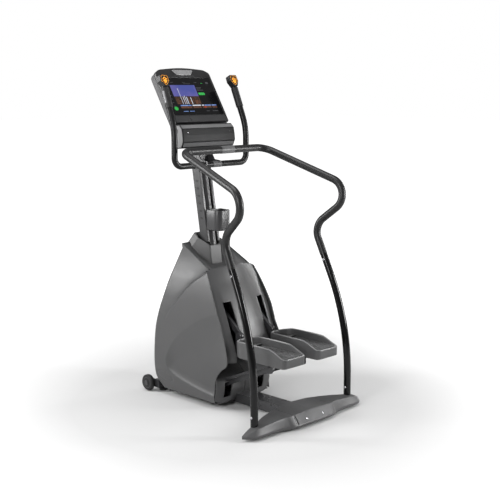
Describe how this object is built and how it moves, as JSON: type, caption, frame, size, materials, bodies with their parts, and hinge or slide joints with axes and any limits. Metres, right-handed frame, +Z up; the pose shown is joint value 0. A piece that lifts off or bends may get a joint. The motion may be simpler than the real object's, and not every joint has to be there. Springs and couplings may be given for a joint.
{
  "type": "stair climber",
  "caption": "Two-pedal stair climber with linked pedals in a tapered shroud, wrap-around handrails, a mast with cup holder and a tilted display console.",
  "frame": {"origin": "on the floor, under the middle of the machine's bounding box", "axes": "+X to the user's right, +Y forward from the user towards the console, +Z up"},
  "size_m": [0.88, 1.1, 1.7897],
  "materials": {
    "grip_rubber": "black rubber coating over bent steel tube, soft sheen",
    "upright_paint": "dark gunmetal gloss paint",
    "frame_paint": "dark grey satin paint",
    "mast_paint": "grey satin powder coat",
    "linkage_paint": "dark satin paint",
    "steel": "bright machined steel",
    "cast_metal": "machined casting",
    "black_rubber": "matt black rubber",
    "wheel_tyre": "hard black rubber on a grey hub",
    "pedal_plastic": "textured moulded grey plastic",
    "shroud_plastic": "satin gunmetal moulded plastic",
    "console_plastic": "fine textured dark plastic",
    "display_glass": "gloss black display cover",
    "board": "circuit board and display module",
    "contact_metal": "bright contact plates",
    "switch_orange": "dark key pad with an orange arrow"
  },
  "bodies": {
    "frame": {"accessory_tray": "console_plastic", "alternator": "cast_metal", "console_bracket": "frame_paint", "console_front_frame": "console_plastic", "console_rear_shell": "console_plastic", "contact_plates": "contact_metal", "cover_screws": "steel", "cup_holder": "console_plastic", "display_glass": "display_glass", "display_panel": "board", "drive_belt": "black_rubber", "drive_frame": "frame_paint", "feet": "black_rubber", "front_cross_tube": "frame_paint", "handlebar": "frame_paint", "handrail_bolts": "steel", "handrail_joiner": "steel", "left_control_head": "console_plastic", "left_handlebar_grip": "black_rubber", "left_handrail": "grip_rubber", "left_lower_cover": "shroud_plastic", "left_mast_cover": "mast_paint", "left_rear_cover": "shroud_plastic", "left_shroud": "shroud_plastic", "left_upright": "upright_paint", "main_beam": "frame_paint", "mast_tube": "frame_paint", "pivot_shaft": "steel", "rear_cover_centre": "shroud_plastic", "rear_cross_tube": "frame_paint", "return_springs": "steel", "right_control_head": "console_plastic", "right_handlebar_grip": "black_rubber", "right_handrail": "grip_rubber", "right_lower_cover": "shroud_plastic", "right_mast_cover": "mast_paint", "right_rear_cover": "shroud_plastic", "right_shroud": "shroud_plastic", "right_upright": "upright_paint", "shaft_bearings": "steel", "shroud_neck": "shroud_plastic"},
    "left_pedal_arm": {"left_pedal_arm": "linkage_paint"},
    "left_levelling_rod": {"left_levelling_rod": "linkage_paint"},
    "left_pedal": {"left_pedal": "pedal_plastic", "left_pedal_carrier": "linkage_paint"},
    "left_drive_link": {"left_drive_link": "linkage_paint"},
    "left_drive_lever": {"left_drive_lever": "linkage_paint"},
    "left_wheel": {"left_wheel": "wheel_tyre"},
    "left_thumb_switch": {"left_thumb_switch": "switch_orange"},
    "right_pedal_arm": {"right_pedal_arm": "linkage_paint"},
    "right_levelling_rod": {"right_levelling_rod": "linkage_paint"},
    "right_pedal": {"right_pedal": "pedal_plastic", "right_pedal_carrier": "linkage_paint"},
    "right_drive_link": {"right_drive_link": "linkage_paint"},
    "right_drive_lever": {"right_drive_lever": "linkage_paint"},
    "right_wheel": {"right_wheel": "wheel_tyre"},
    "right_thumb_switch": {"right_thumb_switch": "switch_orange"},
    "drive_wheel": {"drive_shaft": "steel", "drive_pulley": "cast_metal"},
    "alternator_rotor": {"alternator_pulley": "cast_metal"}
  },
  "joints": [
    {"name": "left_pedal_stroke", "type": "hinge", "parent": "frame", "child": "left_pedal_arm", "pos_m": [-0.11, 0.09, 0.084], "axis": [1, 0, 0], "range_deg": [0, 21.5], "stiffness_Nm_per_rad": 45, "springref_deg": -68.75},
    {"name": "left_levelling_rod_pivot", "type": "hinge", "parent": "frame", "child": "left_levelling_rod", "pos_m": [-0.137, 0.09, 0.106], "axis": [1, 0, 0], "range_deg": [0, 22]},
    {"name": "left_pedal_pivot", "type": "hinge", "parent": "left_pedal_arm", "child": "left_pedal", "pos_m": [-0.11, -0.34, 0.27], "axis": [1, 0, 0], "range_deg": [-22, 0]},
    {"name": "left_link_pivot", "type": "hinge", "parent": "left_pedal", "child": "left_drive_link", "pos_m": [-0.112, -0.124, 0.405], "axis": [1, 0, 0], "range_deg": [0, 11]},
    {"name": "left_lever_pivot", "type": "hinge", "parent": "frame", "child": "left_drive_lever", "pos_m": [-0.0925, 0.273, 0.427], "axis": [1, 0, 0], "range_deg": [0, 39]},
    {"name": "left_wheel_spin", "type": "hinge", "parent": "frame", "child": "left_wheel", "pos_m": [-0.222, 0.505, 0.047], "axis": [1, 0, 0], "continuous": true},
    {"name": "left_switch_rock", "type": "hinge", "parent": "frame", "child": "left_thumb_switch", "pos_m": [-0.251, 0.2941, 1.7208], "axis": [1, 0, 0], "range_deg": [-4, 4], "stiffness_Nm_per_rad": 1.5},
    {"name": "right_pedal_stroke", "type": "hinge", "parent": "frame", "child": "right_pedal_arm", "pos_m": [0.11, 0.09, 0.084], "axis": [1, 0, 0], "range_deg": [0, 21.5], "stiffness_Nm_per_rad": 45, "springref_deg": -68.75},
    {"name": "right_levelling_rod_pivot", "type": "hinge", "parent": "frame", "child": "right_levelling_rod", "pos_m": [0.137, 0.09, 0.106], "axis": [1, 0, 0], "range_deg": [0, 22]},
    {"name": "right_pedal_pivot", "type": "hinge", "parent": "right_pedal_arm", "child": "right_pedal", "pos_m": [0.11, -0.34, 0.27], "axis": [1, 0, 0], "range_deg": [-22, 0]},
    {"name": "right_link_pivot", "type": "hinge", "parent": "right_pedal", "child": "right_drive_link", "pos_m": [0.112, -0.124, 0.405], "axis": [1, 0, 0], "range_deg": [0, 11]},
    {"name": "right_lever_pivot", "type": "hinge", "parent": "frame", "child": "right_drive_lever", "pos_m": [0.0925, 0.273, 0.427], "axis": [1, 0, 0], "range_deg": [0, 39]},
    {"name": "right_wheel_spin", "type": "hinge", "parent": "frame", "child": "right_wheel", "pos_m": [0.222, 0.505, 0.047], "axis": [1, 0, 0], "continuous": true},
    {"name": "right_switch_rock", "type": "hinge", "parent": "frame", "child": "right_thumb_switch", "pos_m": [0.251, 0.2941, 1.7208], "axis": [1, 0, 0], "range_deg": [-4, 4], "stiffness_Nm_per_rad": 1.5},
    {"name": "drive_wheel_spin", "type": "hinge", "parent": "frame", "child": "drive_wheel", "pos_m": [0, 0.273, 0.427], "axis": [1, 0, 0], "continuous": true},
    {"name": "alternator_spin", "type": "hinge", "parent": "frame", "child": "alternator_rotor", "pos_m": [0, 0.34, 0.19], "axis": [1, 0, 0], "continuous": true}
  ],
  "couplings": [
    {"joint": "left_levelling_rod_pivot", "follows": "left_pedal_stroke", "ratio": 1},
    {"joint": "left_pedal_pivot", "follows": "left_pedal_stroke", "ratio": -1},
    {"joint": "left_link_pivot", "follows": "left_pedal_stroke", "ratio": 0.46},
    {"joint": "left_lever_pivot", "follows": "left_pedal_stroke", "ratio": 1.74},
    {"joint": "right_levelling_rod_pivot", "follows": "right_pedal_stroke", "ratio": 1},
    {"joint": "right_pedal_pivot", "follows": "right_pedal_stroke", "ratio": -1},
    {"joint": "right_link_pivot", "follows": "right_pedal_stroke", "ratio": 0.46},
    {"joint": "right_lever_pivot", "follows": "right_pedal_stroke", "ratio": 1.74},
    {"joint": "alternator_spin", "follows": "drive_wheel_spin", "ratio": 4.3107}
  ]
}
